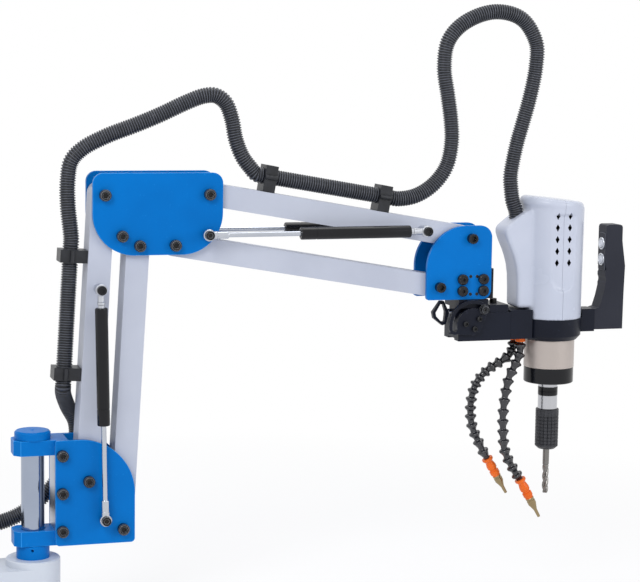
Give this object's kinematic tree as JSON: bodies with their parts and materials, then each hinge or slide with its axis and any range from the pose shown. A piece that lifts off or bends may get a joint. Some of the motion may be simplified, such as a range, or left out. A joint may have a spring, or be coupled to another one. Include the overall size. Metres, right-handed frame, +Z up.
{
  "type": "arm tapping machine",
  "caption": "Tapping machine on a swivelling double parallelogram arm with gas springs, a tilting motor head, hand grip with push buttons, tap chuck and air hoses.",
  "frame": {"origin": "on the column axis at the underside of the base casting", "axes": "+X along the arms towards the head, +Y across the arms to the rear, +Z up along the column"},
  "size_m": [1.3274, 0.19, 1.1051],
  "materials": {
    "cast_paint": "smooth light grey enamel on a casting",
    "blue_paint": "satin blue anodised or painted plate",
    "arm_paint": "satin light grey powder coat",
    "polished_steel": "ground and polished",
    "machined_alloy": "fine machined",
    "black_oxide": "black oxide",
    "black_anodised": "satin black",
    "black_paint": "gloss black",
    "cover_plastic": "light grey moulding",
    "motor_black": "matt black",
    "beige_metal": "warm grey satin",
    "grip_plastic": "dark grey moulding",
    "conduit_plastic": "corrugated nylon",
    "hose_black": "acetal segments",
    "hose_orange": "orange acetal",
    "knurled_black": "blackened steel, knurled"
  },
  "bodies": {
    "base": {"base_casting": "cast_paint", "conduit_gland": "conduit_plastic", "column_shaft": "polished_steel", "column_collar": "blue_paint", "column_cap": "blue_paint", "cap_bolt": "black_oxide"},
    "turret": {"bearing_blocks": "blue_paint", "turret_spine": "machined_alloy", "shoulder_plate_front": "blue_paint", "shoulder_plate_rear": "blue_paint", "shoulder_fasteners": "black_oxide", "conduit_lower": "conduit_plastic"},
    "link_a": {"lower_link_a": "arm_paint", "link_a_studs": "black_oxide", "lower_clips": "conduit_plastic", "conduit_link_a": "conduit_plastic"},
    "link_b": {"lower_link_b": "arm_paint"},
    "lower_cylinders": {"lower_spring_cylinders": "black_paint"},
    "lower_rods": {"lower_spring_rods": "polished_steel"},
    "elbow": {"elbow_plate_front": "blue_paint", "elbow_plate_rear": "blue_paint", "elbow_fasteners": "black_oxide", "conduit_elbow": "conduit_plastic"},
    "link_c": {"upper_link_c": "arm_paint", "link_c_studs": "black_oxide", "upper_clips": "conduit_plastic", "conduit_link_c": "conduit_plastic"},
    "link_d": {"upper_link_d": "arm_paint"},
    "upper_cylinders": {"upper_spring_cylinders": "black_paint"},
    "upper_rods": {"upper_spring_rods": "polished_steel"},
    "wrist": {"wrist_plate_front": "blue_paint", "wrist_plate_rear": "blue_paint", "wrist_fasteners": "black_oxide", "wrist_block": "black_anodised"},
    "swivel": {"swivel_bracket": "black_anodised", "clamp_screw": "black_oxide", "plunger_body": "polished_steel"},
    "locking_pin": {"loop_handle": "black_anodised"},
    "head": {"head_bar": "black_anodised", "tilt_pin": "black_oxide", "sector_plate": "black_anodised", "head_screws": "black_oxide", "motor_bracket": "black_anodised", "motor_cover_left": "cover_plastic", "motor_cover_right": "cover_plastic", "servo_motor": "motor_black", "reducer": "beige_metal", "reducer_ring": "black_paint", "handle_block": "black_anodised", "hand_grip": "grip_plastic", "button_bezels": "polished_steel", "hose_fittings": "hose_orange", "hose_rear": "hose_black", "hose_front": "hose_black", "conduit_head": "conduit_plastic"},
    "spindle": {"chuck_sleeve": "polished_steel", "tap_collet": "knurled_black", "tap": "polished_steel"},
    "button_a": {"button_upper": "polished_steel"},
    "button_b": {"button_lower": "polished_steel"}
  },
  "joints": [
    {"name": "column_swivel", "type": "hinge", "parent": "base", "child": "turret", "pos_m": [0, 0, 0.25], "axis": [0, 0, 1], "range_deg": [-120, 120], "deforming": ["conduit_lower"]},
    {"name": "lower_arm", "type": "hinge", "parent": "turret", "child": "link_a", "pos_m": [0.091, 0, 0.276], "axis": [0, 1, 0], "range_deg": [-5, 40], "deforming": ["conduit_lower"]},
    {"name": "lower_parallel", "type": "hinge", "parent": "turret", "child": "link_b", "pos_m": [0.151, 0, 0.189], "axis": [0, 1, 0], "range_deg": [-5, 40]},
    {"name": "elbow_level", "type": "hinge", "parent": "link_a", "child": "elbow", "pos_m": [0.11895, 0, 0.76821], "axis": [0, 1, 0], "range_deg": [-40, 5], "deforming": ["conduit_elbow"]},
    {"name": "lower_cylinder_eye", "type": "hinge", "parent": "link_a", "child": "lower_cylinders", "pos_m": [0.10988, 0, 0.60846], "axis": [0, 1, 0], "range_deg": [-6.5, 1.25]},
    {"name": "lower_rod_eye", "type": "hinge", "parent": "turret", "child": "lower_rods", "pos_m": [0.1177, 0, 0.2094], "axis": [0, 1, 0], "range_deg": [-4.75, 34.5]},
    {"name": "upper_arm", "type": "hinge", "parent": "elbow", "child": "link_c", "pos_m": [0.30095, 0, 0.76821], "axis": [0, 1, 0], "range_deg": [-13, 28], "deforming": ["conduit_elbow"]},
    {"name": "upper_parallel", "type": "hinge", "parent": "elbow", "child": "link_d", "pos_m": [0.24095, 0, 0.68121], "axis": [0, 1, 0], "range_deg": [-13, 28]},
    {"name": "wrist_level", "type": "hinge", "parent": "link_c", "child": "wrist", "pos_m": [0.7869, 0, 0.68514], "axis": [0, 1, 0], "range_deg": [-28, 13], "deforming": ["conduit_head"]},
    {"name": "upper_cylinder_eye", "type": "hinge", "parent": "link_c", "child": "upper_cylinders", "pos_m": [0.69523, 0, 0.70081], "axis": [0, 1, 0], "range_deg": [-0.5, 0.5]},
    {"name": "upper_rod_eye", "type": "hinge", "parent": "elbow", "child": "upper_rods", "pos_m": [0.29695, 0, 0.69931], "axis": [0, 1, 0], "range_deg": [-13.66, 28.85]},
    {"name": "head_swivel", "type": "hinge", "parent": "wrist", "child": "swivel", "pos_m": [0.7904, 0, 0.57464], "axis": [0, 0, 1], "range_deg": [-90, 90], "deforming": ["conduit_head"]},
    {"name": "head_tilt", "type": "hinge", "parent": "swivel", "child": "head", "pos_m": [0.7904, 0, 0.52784], "axis": [0, 1, 0], "range_deg": [0, 90], "deforming": ["conduit_head"]},
    {"name": "locking_pin_pull", "type": "slide", "parent": "swivel", "child": "locking_pin", "axis": [-1, 0, 0], "range_m": [0, 0.008], "stiffness_N_per_m": 500, "springref_m": -0.002},
    {"name": "spindle_spin", "type": "hinge", "parent": "head", "child": "spindle", "pos_m": [0.9604, 0, 0.4], "axis": [0, 0, 1], "continuous": true},
    {"name": "upper_button_press", "type": "slide", "parent": "head", "child": "button_a", "axis": [1, 0, 0], "range_m": [0, 0.0025], "stiffness_N_per_m": 400, "springref_m": -0.002},
    {"name": "lower_button_press", "type": "slide", "parent": "head", "child": "button_b", "axis": [1, 0, 0], "range_m": [0, 0.0025], "stiffness_N_per_m": 400, "springref_m": -0.002}
  ],
  "couplings": [
    {"joint": "lower_parallel", "follows": "lower_arm", "ratio": 1},
    {"joint": "elbow_level", "follows": "lower_arm", "ratio": -1},
    {"joint": "lower_cylinder_eye", "follows": "lower_arm", "ratio": -0.15},
    {"joint": "lower_rod_eye", "follows": "lower_arm", "ratio": 0.85},
    {"joint": "upper_parallel", "follows": "upper_arm", "ratio": 1},
    {"joint": "wrist_level", "follows": "upper_arm", "ratio": -1},
    {"joint": "upper_cylinder_eye", "follows": "upper_arm", "ratio": 0.0125},
    {"joint": "upper_rod_eye", "follows": "upper_arm", "ratio": 1.0125}
  ]
}
